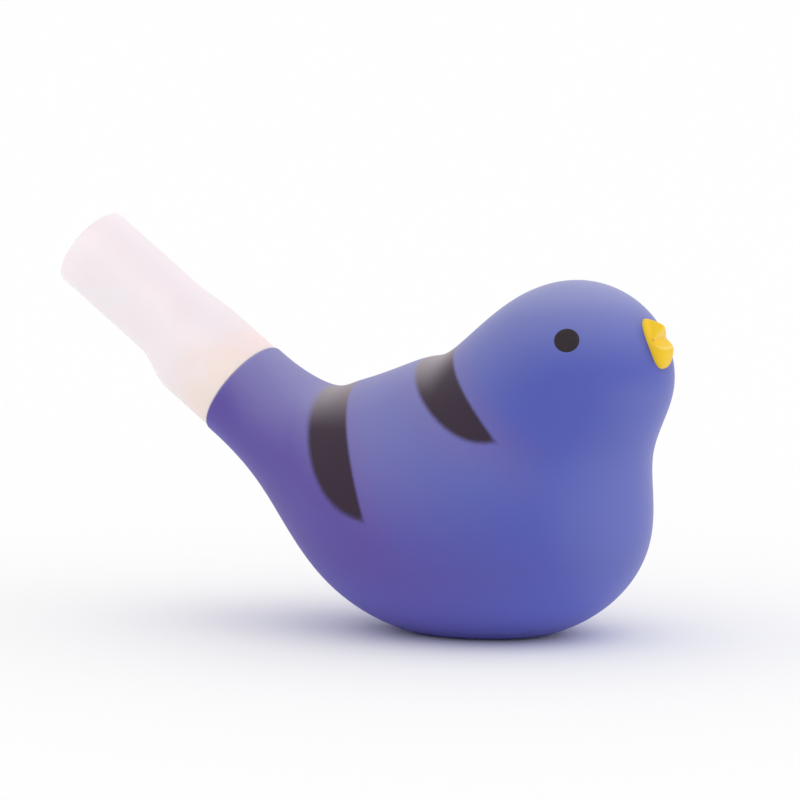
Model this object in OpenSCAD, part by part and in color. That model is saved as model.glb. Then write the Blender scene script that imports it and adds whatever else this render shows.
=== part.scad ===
// Bird water whistle: a hollow moulded bird with a pull-out whistle in its tail.
// The bird looks along +X and stands on the flat of its belly at Z = 0, with the origin
// in the middle of that flat.
// Outline points of the side view are [ahead of the origin, above the base].

/* [Head] */
// Diameter of the round head
head_d = 28.7; // [27:0.1:31]
// Middle of the head, ahead of the origin
head_x = 16.1; // [14.5:0.1:17.5]
// Middle of the head, above the base
head_z = 38.5; // [37:0.1:40]
// Direction of the crown, up from straight ahead
crown_angle = 58; // [52:1:64]

/* [Neck and breast] */
// Nape, where the head runs into the back
nape = [-3.8, 40.6]; // [-50:0.1:50]
// Throat, the hollow under the face
throat = [25, 27.2]; // [-50:0.1:50]
// Width across the throat
throat_w = 30.6; // [29:0.2:32]
// Top of the back behind the nape
shoulder = [-7.7, 40.8]; // [-50:0.1:50]
// Fullest point of the breast
breast = [28.2, 12.2]; // [-50:0.1:50]
// Width across the breast
breast_w = 37.2; // [34:0.2:39]

/* [Belly and back] */
// Middle of the back
back = [-12.2, 38.9]; // [-50:0.1:50]
// Front of the belly
belly = [16.5, -0.2]; // [-50:0.1:50]
// Width across the belly
belly_w = 41.2; // [38:0.2:44]
// Rear of the back
loin = [-17.8, 36.8]; // [-50:0.1:50]
// Rear of the belly
vent = [-5.2, -2.7]; // [-50:0.1:50]
// Width across the rear of the belly
vent_w = 40.8; // [38:0.2:44]
// Share by which the belly is fuller low down than high up
belly_sag = 0.12; // [0:0.01:0.2]

/* [Tail] */
// Hollow of the back, in front of the tail
saddle = [-19.5, 36.4]; // [-50:0.1:50]
// Corner where the belly turns up into the tail
rump = [-22.1, 3.7]; // [-50:0.1:50]
// Width across the rump
rump_w = 33; // [30:0.2:36]
// Top of the tail's root
tail_top = [-24.7, 34.2]; // [-50:0.1:50]
// Underside of the tail's root
tail_under = [-33.3, 18.4]; // [-50:0.1:50]
// Width across the tail's root
tail_w = 21.6; // [20:0.2:24]
// Middle of the tail's rim, behind the origin
tail_x = 40; // [38:0.1:42]
// Middle of the tail's rim, above the base
tail_z = 33.9; // [32:0.1:36]
// Slope of the tail and the whistle
tail_angle = 36; // [32:0.5:40]
// Outside diameter of the tail's rim
rim_d = 15.8; // [15:0.1:17]
// Straight end of the tail
rim_l = 5; // [4:0.1:6]

/* [Shell] */
// Thickness of the moulded wall
wall = 2; // [1.6:0.1:2.3]
// Thickness of the floor under the water
floor_t = 3.2; // [2:0.1:4]
// Thickness of the tail's wall round the whistle
neck_wall = 1.4; // [1.2:0.1:1.7]
// Depth of the round hole in the tail
neck_depth = 8.8; // [8.5:0.1:10]
// Skin left under a blind socket in the wall
socket_skin = 0.8; // [0.5:0.1:1]

/* [Face] */
// Diameter of an eye
eye_d = 3.85; // [3:0.05:4.5]
// How far round the head an eye sits from straight ahead
eye_round = 70; // [62:1:78]
// How far up the head an eye sits
eye_up = 29; // [25:1:36]
// How far an eye stands proud of the head
eye_proud = 0.1; // [0.05:0.05:0.3]
// How far up the head the beak sits
beak_up = 24.5; // [20:0.5:28]
// Height of the beak's foot
beak_h = 7.8; // [6.6:0.1:8.4]
// Width of the beak's foot
beak_w = 5.2; // [4.6:0.1:6]
// Squareness of the foot's lower end, where 2 is an oval
beak_square = 2.8; // [2:0.1:4]
// Height of the beak's rounded foot above the head
beak_foot = 0.85; // [0.6:0.05:1.1]
// Height of the gape's crease above the beak's middle
crease_z = 0.35; // [0:0.05:0.6]
// Reach of the upper bill beyond the foot
upper_bill = 1.45; // [1.2:0.05:2]
// Height of the upper bill's point above the crease
upper_gape = 1.5; // [1.2:0.1:2]
// Reach of the lower bill beyond the foot
lower_bill = 0.85; // [0.6:0.05:1.4]
// Depth of the lower bill's point below the crease
lower_gape = 1.8; // [1.4:0.1:2.2]
// Breadth of the lower bill's rim, where 1 is a point
lower_broad = 5; // [2:0.5:8]
// Crispness of the bills' edges
crisp = 7; // [5:0.5:10]
// Diameter of the peg that holds the beak
peg_d = 2.4; // [2:0.1:2.8]

/* [Mouthpiece] */
// Length of the mouthpiece outside the tail
mouth_l = 33.5; // [31:0.5:36]
// Outside diameter of the blow end
blow_d = 13; // [12.6:0.1:13.6]
// Wall of the blow end
blow_wall = 1.2; // [1.1:0.1:1.5]
// How far the top of the blow end lies below the top of the collar
blow_drop = 0.5; // [0:0.1:0.7]
// Rounding of the lip
lip_r = 0.6; // [0.3:0.1:0.6]
// Step from the tail's rim down to the collar
collar_step = 0.2; // [0.1:0.05:0.5]
// Length of the thick collar
collar_l = 9; // [8:0.1:10]
// Wall of the collar and of the spigot
collar_wall = 1.3; // [1.1:0.1:1.5]
// Length of the shoulder on the underside
shoulder_l = 7.2; // [6.5:0.1:7.8]
// Length of the spigot inside the tail
spigot_l = 8.4; // [7.5:0.1:8.8]
// Clearance all round the spigot in the tail
spigot_gap = 0.05; // [0.02:0.01:0.1]
// Clearance round pieces that are pushed in and stay in
seat_gap = 0.03; // [0.01:0.01:0.06]

/* [Whistle] */
// Diameter narrowing that the fipple block stops against
block_ledge = 0.8; // [0.6:0.1:1.2]
// Length of the fipple block
block_l = 11; // [9:0.5:12]
// Wall of the cored fipple block
block_wall = 1.2; // [1:0.1:1.5]
// Height of the windway under the fipple block
windway_h = 1.2; // [0.9:0.1:1.4]
// Length of the sound window
window_l = 4; // [3:0.1:5]
// Width of the sound window
window_w = 6; // [5:0.1:6.4]
// Where the sound window's lip is, out from the tail's rim
lip_z = 15.4; // [15:0.1:16]
// Thickness of the sound window's lip
lip_t = 0.3; // [0.2:0.05:0.4]
// Slope of the ramp up to the lip
ramp_angle = 28; // [24:1:34]
// Outside diameter of the dip tube
dip_d = 6.8; // [6.4:0.1:7.2]
// Bore of the dip tube
dip_bore = 5.4; // [5:0.1:5.8]
// Length of the dip tube
dip_l = 36.4; // [34:0.2:37]
// Depth of the stop that the dip tube is pushed up to, below the tail's rim
dip_stop = 5.6; // [5:0.1:6]
// Thickness of that stop
stop_t = 1.2; // [1:0.1:1.6]

/* [Hidden] */
$fn = 64;

head_r = head_d / 2;
bore_d = rim_d - 2 * neck_wall;
spigot_d = bore_d - 2 * spigot_gap;
collar_r = rim_d / 2 - collar_step;
blow_r = blow_d / 2;
blow_bore_r = blow_r - blow_wall;
chamber_r = blow_bore_r - block_ledge / 2;
// The blow end sits off centre, so that the top of the mouthpiece runs nearly straight
blow_lift = collar_r - blow_r - blow_drop;
block_z = lip_z + window_l;
socket_depth = wall - socket_skin;
// How far a cutter runs past the face that it opens, and a loft into the piece that it joins
past = 1;
// How far a loft lies under the round piece that it runs into
tuck = 0.02;

// Counts of rings from the crown to the tail and of sides round the bird
rings = 48;
sides = 48;
cavity_rings = 32;
cavity_sides = 36;
cap_rings = 9;
shoulder_rings = 8;
bill_rings = 12;
bill_sides = 40;
eye_facets = 200;

// Side outline and half widths, from the throat back to the tail's root
stations = [
    [nape, throat, throat_w / 2, 0],
    [shoulder, breast, breast_w / 2, belly_sag / 2],
    [back, belly, belly_w / 2, belly_sag],
    [loin, vent, vent_w / 2, belly_sag],
    [saddle, rump, rump_w / 2, belly_sag / 2],
    [tail_top, tail_under, tail_w / 2, 0]
];
// The head's outline is an arc of control points, one at each step from the crown
arc_step = 45;
arc_reach = 3 / (2 + cos(arc_step));

function toward(a, b, d) = a + d * (b - a) / norm(b - a);

function head_point(angle, r) = [head_x, head_z] + r * arc_reach * [cos(angle), sin(angle)];

// Point of the side view at s out along the tail's axis from its rim and r above the axis
function tail_point(s, r) =
    [-tail_x, tail_z] + s * [-cos(tail_angle), sin(tail_angle)] + r * [sin(tail_angle), cos(tail_angle)];

function tail_station(s, r) = [tail_point(s, r), tail_point(s, -r), r, 0];

// Stations of a skin that lies inset inside the outline: back point, belly point, half width, sag
function skin_stations(inset, tail_end) = concat(
    [for (k = [0.5, 1.5])
        let (r = head_r - inset)
        [head_point(crown_angle + k * arc_step, r), head_point(crown_angle - k * arc_step, r),
         r * arc_reach * sin(k * arc_step), 0]],
    [for (s = stations) [toward(s[0], s[1], inset), toward(s[1], s[0], inset), s[2] - inset, s[3]]],
    tail_end
);

// One control line: along the back from the tail to the crown, then down the face and along the belly.
// Half widths count as negative along the back, so that they pass through zero at the crown.
function control_line(st) =
    let (n = len(st))
    concat(
        [for (i = [n - 1:-1:0]) [st[i][0][0], st[i][0][1], -st[i][2], st[i][3]]],
        [for (i = [0:n - 1]) [st[i][1][0], st[i][1][1], st[i][2], st[i][3]]]
    );

// Point at s on the smooth curve (a uniform cubic B-spline) drawn by a control line
function spline(line, s) =
    let (
        n = len(line),
        c = concat([2 * line[0] - line[1]], line, [2 * line[n - 1] - line[n - 2]]),
        i = min(floor(s), n - 2),
        t = s - i
    )
    (pow(1 - t, 3) * c[i]
        + (3 * pow(t, 3) - 6 * pow(t, 2) + 4) * c[i + 1]
        + (3 * t + 3 * pow(t, 2) - 3 * pow(t, 3) + 1) * c[i + 2]
        + pow(t, 3) * c[i + 3]) / 6;

// Oval ring at v from the crown: its long chord joins the back to the belly
function skin_ring(line, v, n) =
    let (
        crown = (len(line) - 1) / 2,
        a = spline(line, crown - v),
        b = spline(line, crown + v),
        mid = (a + b) / 2,
        half = (b - a) / 2
    )
    [for (k = [0:n - 1])
        let (t = 360 * k / n)
        [mid[0] + half[0] * cos(t), b[2] * sin(t) * (1 + b[3] * cos(t)), mid[1] + half[1] * cos(t)]];

function skin_crown(line) =
    let (p = spline(line, (len(line) - 1) / 2))
    [p[0], 0, p[1]];

// Closed solid over a pole point and rings of n points each, with a flat end on the last ring
module ringed_solid(pole, ring_list, n) {
    last = len(ring_list) - 1;
    points = concat([pole], [for (r = ring_list) each r]);
    tip = [for (k = [0:n - 1]) [0, 1 + (k + 1) % n, 1 + k]];
    strips = [for (i = [0:last - 1], k = [0:n - 1])
        let (a = 1 + i * n + k, b = 1 + i * n + (k + 1) % n)
        each [[a, b, b + n], [a, b + n, a + n]]];
    polyhedron(points, concat(tip, strips, [[for (k = [0:n - 1]) 1 + last * n + k]]));
}

outer_line = control_line(skin_stations(0, [tail_station(-rim_l, rim_d / 2), tail_station(0, rim_d / 2)]));
// The water space narrows into the round hole of the tail
cavity_line = control_line(skin_stations(wall, [tail_station(past - neck_depth, spigot_d / 2)]));
outer_v = (len(outer_line) - 1) / 2;
cavity_v = (len(cavity_line) - 1) / 2;

module outer_form(count) {
    ringed_solid(skin_crown(outer_line),
        [for (i = [1:count]) skin_ring(outer_line, outer_v * i / rings, sides)], sides);
}

module water_space() {
    ringed_solid(skin_crown(cavity_line),
        [for (i = [1:cavity_rings])
            [for (p = skin_ring(cavity_line, cavity_v * i / cavity_rings, cavity_sides))
                [p[0], p[1], max(p[2], floor_t)]]],
        cavity_sides);
}

// Local frame of the tail: +Z out along the whistle, +X towards its top, zero at the rim
module along_tail() {
    translate([-tail_x, 0, tail_z])
        rotate([0, tail_angle - 90, 0])
            children();
}

// Local frame of the head: +X out of the head at that bearing and height
module on_head(bearing, up) {
    translate([head_x, 0, head_z])
        rotate([0, -up, bearing])
            children();
}

// Round plug along +X that ends in the head's round surface, or the socket that takes it
module plug(d, from, to) {
    translate([from, 0, 0])
        rotate([0, 90, 0])
            cylinder(d = d, h = to - from);
}

module body_shell() {
    floor_cut = 2 * tail_x;
    color([0.36, 0.37, 0.70])
        difference() {
            outer_form(rings);
            translate([-floor_cut, -floor_cut, -floor_cut])
                cube([2 * floor_cut, 2 * floor_cut, floor_cut]);
            water_space();
            along_tail()
                translate([0, 0, -neck_depth])
                    cylinder(d = bore_d, h = neck_depth + past);
            for (side = [-1, 1])
                on_head(side * eye_round, eye_up)
                    plug(eye_d + 2 * seat_gap, head_r - socket_depth, head_r + past);
            on_head(0, beak_up)
                plug(peg_d + 2 * seat_gap, head_r - socket_depth, head_r + past);
        }
}

// Highest of several values, rounded where two of them meet
function soft_highest(faces) = ln([for (f = faces) exp(crisp * f)] * [for (f = faces) 1]) / crisp;

// Height of the pointed upper bill over the point at y across and z above the crease.
// Two cheeks fall from its point to the foot's top and the gape's corners, and a palate faces the gape.
function upper_height(y, z) =
    let (
        down = 1 / (beak_h / 2 - crease_z - upper_gape),
        across = 2 * (1 + down * upper_gape) / beak_w,
        fall = down * (z - upper_gape)
    )
    upper_bill * max(0, 1 - soft_highest([fall + across * y, fall - across * y, 1 - z / upper_gape]));

// Height of the broad lower bill over the point at y across and z below the crease.
// A scoop that faces the gape meets a front that falls to both sides and to the foot's lower end.
function lower_height(y, z) =
    let (
        aside = pow(abs(2 * y / beak_w), lower_broad),
        down = max(0, z - lower_gape) / (beak_h / 2 + crease_z - lower_gape)
    )
    lower_bill * max(0, 1 - soft_highest([aside + down, 1 - z / lower_gape]));

// The foot rises with a round shoulder from its edge, where rho is 1
function foot(rho) = beak_foot * sqrt(1 - pow(rho, 4));

function beak_height(y, z, rho) =
    foot(rho) + max(upper_height(y, z - crease_z), lower_height(y, crease_z - z));

// Share of a half size along the foot's outline
function outline_share(e, square) = sign(e) * pow(abs(e), 2 / square);

// Point of the beak in the head's local frame, over the point [y, z] of its foot
function beak_point(y, z, rise) =
    let (r = head_r + rise)
    [sqrt(r * r - y * y - z * z), y, z];

module beak_form() {
    edge = [for (k = [0:bill_sides - 1])
        let (a = 360 * k / bill_sides, square = sin(a) < 0 ? beak_square : 2)
        [beak_w / 2 * outline_share(cos(a), square), beak_h / 2 * outline_share(sin(a), square)]];
    ringed_solid(beak_point(0, 0, beak_height(0, 0, 0)),
        concat(
            [for (i = [1:bill_rings])
                [for (e = edge)
                    let (rho = i / bill_rings, y = rho * e[0], z = rho * e[1])
                    beak_point(y, z, beak_height(y, z, rho))]],
            [[for (e = edge) [head_r - wall, e[0], e[1]]]]),
        bill_sides);
}

module beak() {
    color([0.96, 0.78, 0.18]) {
        difference() {
            on_head(0, beak_up)
                beak_form();
            outer_form(cap_rings);
        }
        on_head(0, beak_up)
            plug(peg_d, head_r - socket_depth, head_r + beak_foot / 2);
    }
}

module eye(side) {
    color([0.13, 0.11, 0.12])
        on_head(side * eye_round, eye_up)
            intersection() {
                sphere(r = head_r + eye_proud, $fn = eye_facets);
                plug(eye_d, head_r - socket_depth, head_r + past, $fn = eye_facets);
            }
}

module eye_left() {
    eye(1);
}

module eye_right() {
    eye(-1);
}

// Shoulder that thins the collar to the blow end in a smooth S, on the underside only
module mouth_shoulder() {
    function ease(t) = t * t * (3 - 2 * t);
    function ring(e, z) =
        let (r = collar_r + (blow_r - collar_r) * e)
        [for (k = [0:sides - 1])
            let (a = -360 * k / sides)
            [blow_lift * e + (r - tuck) * cos(a), (r - tuck) * sin(a), z]];
    ring_list = concat(
        [ring(0, collar_l - past)],
        [for (i = [0:shoulder_rings])
            let (t = i / shoulder_rings)
            ring(ease(t), collar_l + shoulder_l * t)],
        [ring(1, collar_l + shoulder_l + past)]);
    ringed_solid([0, 0, collar_l - past], ring_list, sides);
}

module blow_end() {
    start = collar_l + shoulder_l;
    straight = mouth_l - start - lip_r;
    translate([blow_lift, 0, start])
        rotate_extrude() {
            square([blow_r, straight]);
            square([blow_r - lip_r, straight + lip_r]);
            translate([blow_r - lip_r, straight])
                intersection() {
                    circle(lip_r);
                    square(lip_r);
                }
        }
}

// Underside cuts that sound the whistle: the window and the ramp up to its lip
module sound_window() {
    lip_x = blow_lift - chamber_r - lip_t;
    ramp_rise = collar_r + past + lip_x;
    ramp_l = ramp_rise / tan(ramp_angle);
    translate([blow_lift - blow_r - past, -window_w / 2, lip_z])
        cube([blow_r + past - chamber_r / 2, window_w, window_l]);
    rotate([90, 0, 0])
        linear_extrude(window_w, center = true)
            polygon([[lip_x, lip_z], [lip_x - ramp_rise, lip_z - ramp_l], [lip_x - ramp_rise, lip_z]]);
}

module mouthpiece() {
    color([0.96, 0.92, 0.94])
        along_tail()
            difference() {
                union() {
                    translate([0, 0, seat_gap])
                        cylinder(r = collar_r, h = collar_l - seat_gap);
                    mouth_shoulder();
                    blow_end();
                    translate([0, 0, -spigot_l])
                        cylinder(d = spigot_d, h = spigot_l + past);
                }
                translate([blow_lift, 0, block_z])
                    cylinder(r = blow_bore_r, h = mouth_l);
                translate([blow_lift, 0, collar_l - past])
                    cylinder(r = chamber_r, h = block_z - collar_l + 2 * past);
                translate([0, 0, collar_wall])
                    cylinder(r = collar_r - collar_wall, h = collar_l - collar_wall);
                translate([0, 0, stop_t - dip_stop])
                    cylinder(r = spigot_d / 2 - collar_wall, h = dip_stop + past);
                translate([0, 0, -dip_stop - past])
                    cylinder(d = dip_bore, h = dip_stop);
                translate([0, 0, -dip_stop - spigot_l])
                    cylinder(d = dip_d + 2 * seat_gap, h = spigot_l);
                sound_window();
            }
}

module fipple_block() {
    color([0.93, 0.92, 0.90])
        along_tail()
            translate([blow_lift, 0, block_z])
                difference() {
                    cylinder(r = blow_bore_r - seat_gap, h = block_l);
                    translate([-2 * blow_r, -blow_r, -past])
                        cube([2 * blow_r - blow_bore_r + windway_h, blow_d, block_l + 2 * past]);
                    translate([0, 0, -past])
                        cylinder(r = blow_bore_r - windway_h - block_wall, h = block_l - block_wall + past);
                }
}

module dip_tube() {
    low_end = dip_stop + dip_l;
    color([0.94, 0.94, 0.95])
        along_tail()
            difference() {
                translate([0, 0, -low_end])
                    cylinder(d = dip_d, h = dip_l);
                translate([0, 0, -low_end - past])
                    cylinder(d = dip_bore, h = dip_l + 2 * past);
            }
}

body_shell();
beak();
eye_left();
eye_right();
mouthpiece();
fipple_block();
dip_tube();
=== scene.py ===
"""Bird whistle: the smooth skin, face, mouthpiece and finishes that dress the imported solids."""

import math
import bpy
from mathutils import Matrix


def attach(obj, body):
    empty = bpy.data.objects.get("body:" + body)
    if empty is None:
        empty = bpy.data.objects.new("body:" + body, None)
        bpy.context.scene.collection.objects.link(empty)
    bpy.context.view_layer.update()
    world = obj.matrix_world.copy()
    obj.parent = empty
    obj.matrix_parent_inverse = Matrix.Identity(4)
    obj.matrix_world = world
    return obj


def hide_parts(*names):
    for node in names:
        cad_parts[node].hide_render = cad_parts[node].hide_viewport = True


bl_info = {
    "name": "Bird whistle",
    "version": (1, 0, 0),
    "blender": (4, 5, 0),
    "location": "3D View > Sidebar > Whistle",
    "description": "Dresses the bird whistle in soft vinyl, sprayed stripes and milky plastic",
    "category": "Add Mesh",
}

from collections import namedtuple

import bpy
import numpy as np
from mathutils import Vector

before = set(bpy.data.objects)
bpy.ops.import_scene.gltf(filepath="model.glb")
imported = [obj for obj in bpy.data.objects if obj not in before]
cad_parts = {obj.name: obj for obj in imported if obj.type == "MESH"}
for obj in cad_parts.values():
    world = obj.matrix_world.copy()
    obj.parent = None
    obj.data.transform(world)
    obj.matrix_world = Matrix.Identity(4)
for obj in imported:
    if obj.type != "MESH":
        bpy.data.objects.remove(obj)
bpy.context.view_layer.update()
MM = 0.001


# Sizes and colours

def length(name, description, mm):
    """A size in millimetres, kept in metres."""
    return bpy.props.FloatProperty(
        name=name, description=description, default=mm * MM, unit="LENGTH", precision=5)


def spot(name, description, ahead, up):
    """A point of the side outline, ahead of the origin and above the base."""
    return bpy.props.FloatVectorProperty(
        name=name, description=description, size=2, default=(ahead * MM, up * MM),
        unit="LENGTH", precision=5)


def turn(name, description, degrees):
    """An angle in degrees, kept in radians."""
    return bpy.props.FloatProperty(
        name=name, description=description, default=math.radians(degrees), subtype="ANGLE")


def share(name, description, value):
    """A plain number without a unit."""
    return bpy.props.FloatProperty(name=name, description=description, default=value, precision=4)


def place(name, description, subtype, xyz):
    """A place or a direction in the frame."""
    return bpy.props.FloatVectorProperty(
        name=name, description=description, size=3, subtype=subtype, default=xyz)


def tint(name, description, rgb):
    """A colour in linear light."""
    return bpy.props.FloatVectorProperty(
        name=name, description=description, size=3, subtype="COLOR", min=0, max=1, default=rgb)


class BirdSizes(bpy.types.PropertyGroup):
    """Sizes of the bird, as the solids have them, and of the small roundings on its skin."""

    head_d: length("Head", "Diameter of the round head", 28.7)
    head_at: spot("Head middle", "Middle of the round head", 16.1, 38.5)
    crown: turn("Crown", "Direction of the crown, up from straight ahead", 58)
    nape: spot("Nape", "Where the head runs into the back", -3.8, 40.6)
    throat: spot("Throat", "Hollow under the face", 25, 27.2)
    throat_w: length("Throat width", "Width across the throat", 30.6)
    shoulder: spot("Shoulder", "Top of the back behind the nape", -7.7, 40.8)
    breast: spot("Breast", "Fullest point of the breast", 28.2, 12.2)
    breast_w: length("Breast width", "Width across the breast", 37.2)
    back: spot("Back", "Middle of the back", -12.2, 38.9)
    belly: spot("Belly", "Front of the belly", 16.5, -0.2)
    belly_w: length("Belly width", "Width across the belly", 41.2)
    loin: spot("Loin", "Rear of the back", -17.8, 36.8)
    vent: spot("Vent", "Rear of the belly", -5.2, -2.7)
    vent_w: length("Vent width", "Width across the rear of the belly", 40.8)
    saddle: spot("Saddle", "Hollow of the back, in front of the tail", -19.5, 36.4)
    rump: spot("Rump", "Corner where the belly turns up into the tail", -22.1, 3.7)
    rump_w: length("Rump width", "Width across the rump", 33)
    tail_top: spot("Tail top", "Top of the tail's root", -24.7, 34.2)
    tail_under: spot("Tail underside", "Underside of the tail's root", -33.3, 18.4)
    tail_w: length("Tail width", "Width across the tail's root", 21.6)
    sag: share("Belly sag", "Share by which the belly is fuller low down", 0.12)
    rim_at: spot("Rim middle", "Middle of the tail's rim", -40, 33.9)
    tail_slope: turn("Tail slope", "Slope of the tail and the whistle", 36)
    rim_d: length("Rim", "Outside diameter of the tail's rim", 15.8)
    rim_l: length("Rim length", "Straight end of the tail", 5)
    rim_round: length("Rim rounding", "Rounding of the rim's edges", 0.3)
    wall: length("Wall", "Thickness of the moulded wall", 2)
    floor_t: length("Floor", "Thickness of the floor under the water", 3.2)
    hole_d: length("Tail hole", "Diameter of the hole that takes the whistle", 13)
    hole_l: length("Tail hole depth", "Depth of the hole that takes the whistle", 8.8)
    hole_step: length("Hole step", "Gap between the hole's end and the water space's first ring", 0.1)
    cavity_end: length("Water space end", "Radius at which the water space meets the hole", 6.5)
    base_soft: length("Base edge", "Softness of the edge round the flat base", 0.3)


class FaceSizes(bpy.types.PropertyGroup):
    """Sizes of the beak and the eyes, as the solids have them, and the fall of the eyes' edges."""

    eye_d: length("Eye", "Diameter of an eye", 3.85)
    eye_round: turn("Eye bearing", "How far round the head an eye sits from straight ahead", 70)
    eye_up: turn("Eye height", "How far up the head an eye sits", 29)
    eye_proud: length("Eye rise", "How far an eye stands proud of the head", 0.1)
    eye_fall: share("Eye edge", "How far an eye falls at its edge, as a share of its rise", 1.6)
    beak_up: turn("Beak height", "How far up the head the beak sits", 24.5)
    beak_h: length("Beak foot height", "Height of the beak's foot", 7.8)
    beak_w: length("Beak foot width", "Width of the beak's foot", 5.2)
    beak_square: share("Beak squareness", "Squareness of the foot's lower end, where 2 is an oval", 2.8)
    beak_foot: length("Beak foot", "Height of the beak's rounded foot above the head", 0.85)
    crease_z: length("Crease", "Height of the gape's crease above the beak's middle", 0.35)
    upper_bill: length("Upper bill", "Reach of the upper bill beyond the foot", 1.45)
    upper_gape: length("Upper gape", "Height of the upper bill's point above the crease", 1.5)
    lower_bill: length("Lower bill", "Reach of the lower bill beyond the foot", 0.85)
    lower_gape: length("Lower gape", "Depth of the lower bill's point below the crease", 1.8)
    lower_broad: share("Lower breadth", "Breadth of the lower bill's rim, where 1 is a point", 5)
    crisp: share("Crispness", "Crispness of the bills' edges", 7)


class WhistleSizes(bpy.types.PropertyGroup):
    """Sizes of the mouthpiece, as the solids have them, and of the rounding on its collar."""

    mouth_l: length("Mouthpiece", "Length of the mouthpiece outside the tail", 33.5)
    blow_d: length("Blow end", "Outside diameter of the blow end", 13)
    blow_wall: length("Blow wall", "Wall of the blow end", 1.2)
    blow_drop: length("Blow drop", "How far the blow end's top lies below the collar's", 0.5)
    lip_r: length("Lip", "Rounding of the lip", 0.6)
    collar_d: length("Collar", "Outside diameter of the collar", 15.4)
    collar_l: length("Collar length", "Length of the thick collar", 9)
    collar_wall: length("Collar wall", "Wall of the collar and of the spigot", 1.3)
    collar_round: length("Collar edge", "Rounding of the collar's edge at the rim", 0.2)
    shoulder_l: length("Shoulder", "Length of the shoulder on the underside", 7.2)
    spigot_d: length("Spigot", "Diameter of the spigot inside the tail", 12.9)
    spigot_l: length("Spigot length", "Length of the spigot inside the tail", 8.4)
    seat_gap: length("Seat gap", "Clearance under the collar", 0.03)
    ledge: length("Ledge", "Narrowing that the fipple block stops against", 0.4)
    window_l: length("Window length", "Length of the sound window", 4)
    window_w: length("Window width", "Width of the sound window", 6)
    lip_at: length("Window lip", "Where the sound window's lip is, out from the rim", 15.4)
    lip_t: length("Lip thickness", "Thickness of the sound window's lip", 0.3)
    ramp: turn("Ramp", "Slope of the ramp up to the lip", 28)
    stop_at: length("Tube stop", "Depth of the stop that the dip tube is pushed up to", 5.6)
    stop_t: length("Stop thickness", "Thickness of that stop", 1.2)
    tube_d: length("Tube socket", "Diameter of the socket for the dip tube", 6.86)
    tube_bore: length("Tube bore", "Bore of the dip tube", 5.4)


class Finishes(bpy.types.PropertyGroup):
    """Colours of the finishes."""

    head_blue: tint("Head blue", "Vinyl on the head and the breast", (0.085, 0.110, 0.44))
    tail_violet: tint("Tail violet", "Vinyl on the rump and the tail", (0.121, 0.086, 0.36))
    mottle_blue: tint("Mottle", "Faint clouds in the vinyl", (0.11, 0.11, 0.42))
    stripe_black: tint("Stripe black", "Paint sprayed over the back", (0.034, 0.018, 0.028))
    # Painted highlight on the stripes where they face up
    stripe_painted_highlight: tint("Stripe dust", "Pale grey of the paint where it faces up", (0.45, 0.39, 0.415))
    # Painted light on the skin that faces up and on the breast's front
    painted_light_pale: tint("Highlight", "Pale bloom on skin that faces up", (0.40, 0.41, 0.62))
    # Painted light on the underside
    belly_painted_light: tint("Belly light", "Clearer blue that the underside has more of", (0.010, 0.030, 0.11))
    spray_violet: tint("Overspray", "Faint paint dust round the stripes", (0.13, 0.075, 0.33))
    # Painted shade on the skin beside the beak
    painted_shade_blue: tint("Shade blue", "Deeper blue of the skin beside the beak", (0.030, 0.040, 0.22))
    eye_black: tint("Eye black", "Matte black of the eyes", (0.018, 0.009, 0.015))
    beak_yellow: tint("Beak yellow", "Warm yellow of the beak", (0.85, 0.55, 0.018))
    # Painted shade in the gape's corners
    painted_gape_yellow: tint("Beak shade", "Deeper yellow in the gape's corners", (0.62, 0.33, 0.03))
    # Painted highlight on the beak's edges
    beak_highlight_yellow: tint("Highlighted beak", "Paler yellow on the beak's worn edges", (0.93, 0.68, 0.24))
    milk_white: tint("Milk white", "Milky plastic of the whistle", (0.965, 0.858, 0.89))
    # Painted shade on the milky plastic where it faces up
    milk_painted_shade: tint("Milk shade", "Milky plastic where it faces up", (0.85, 0.77, 0.805))
    # Painted warm glow in the milky plastic at the tail's rim
    milk_painted_glow: tint("Warm milk", "Milky plastic close to the tail's rim", (0.985, 0.805, 0.75))
    # The painted glow with painted shade where it faces up
    glow_painted_shade: tint("Warm shade", "The warm milk where it faces up", (0.90, 0.74, 0.72))
    floor_white: tint("Floor", "Pale floor under the bird", (0.95, 0.95, 0.95))
    floor_grey: tint("Floor clouds", "Faint clouds on the floor", (0.93, 0.93, 0.93))


class StageSizes(bpy.types.PropertyGroup):
    """Camera, floor and light."""

    eye_point: place("Camera", "Where the camera stands", "TRANSLATION", (0.4155, -0.7915, 0.1435))
    aim_point: place("Aim", "What the camera looks at", "TRANSLATION", (-0.01005, -0.0058, 0.0344))
    lens: share("Lens", "Focal length in millimetres on a 36 mm sensor", 275.4)
    floor_size: length("Floor size", "Side of the square floor", 8000)
    sky: share("Sky", "Strength of the white surroundings", 0.82)
    dome: share("Dome", "Strength of the broad soft light overhead", 0.47)
    dome_from: place("Dome from", "Direction that the light overhead comes from", "XYZ", (0, 0, 1))
    dome_wide: turn("Dome width", "Angle that the light overhead spreads over", 140)
    right: share("Right light", "Strength of the soft light from the right", 0.65)
    right_from: place("Right from", "Direction that the right light comes from", "XYZ", (0.9, 0.25, 0.35))
    right_wide: turn("Right width", "Angle that the right light spreads over", 90)


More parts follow.
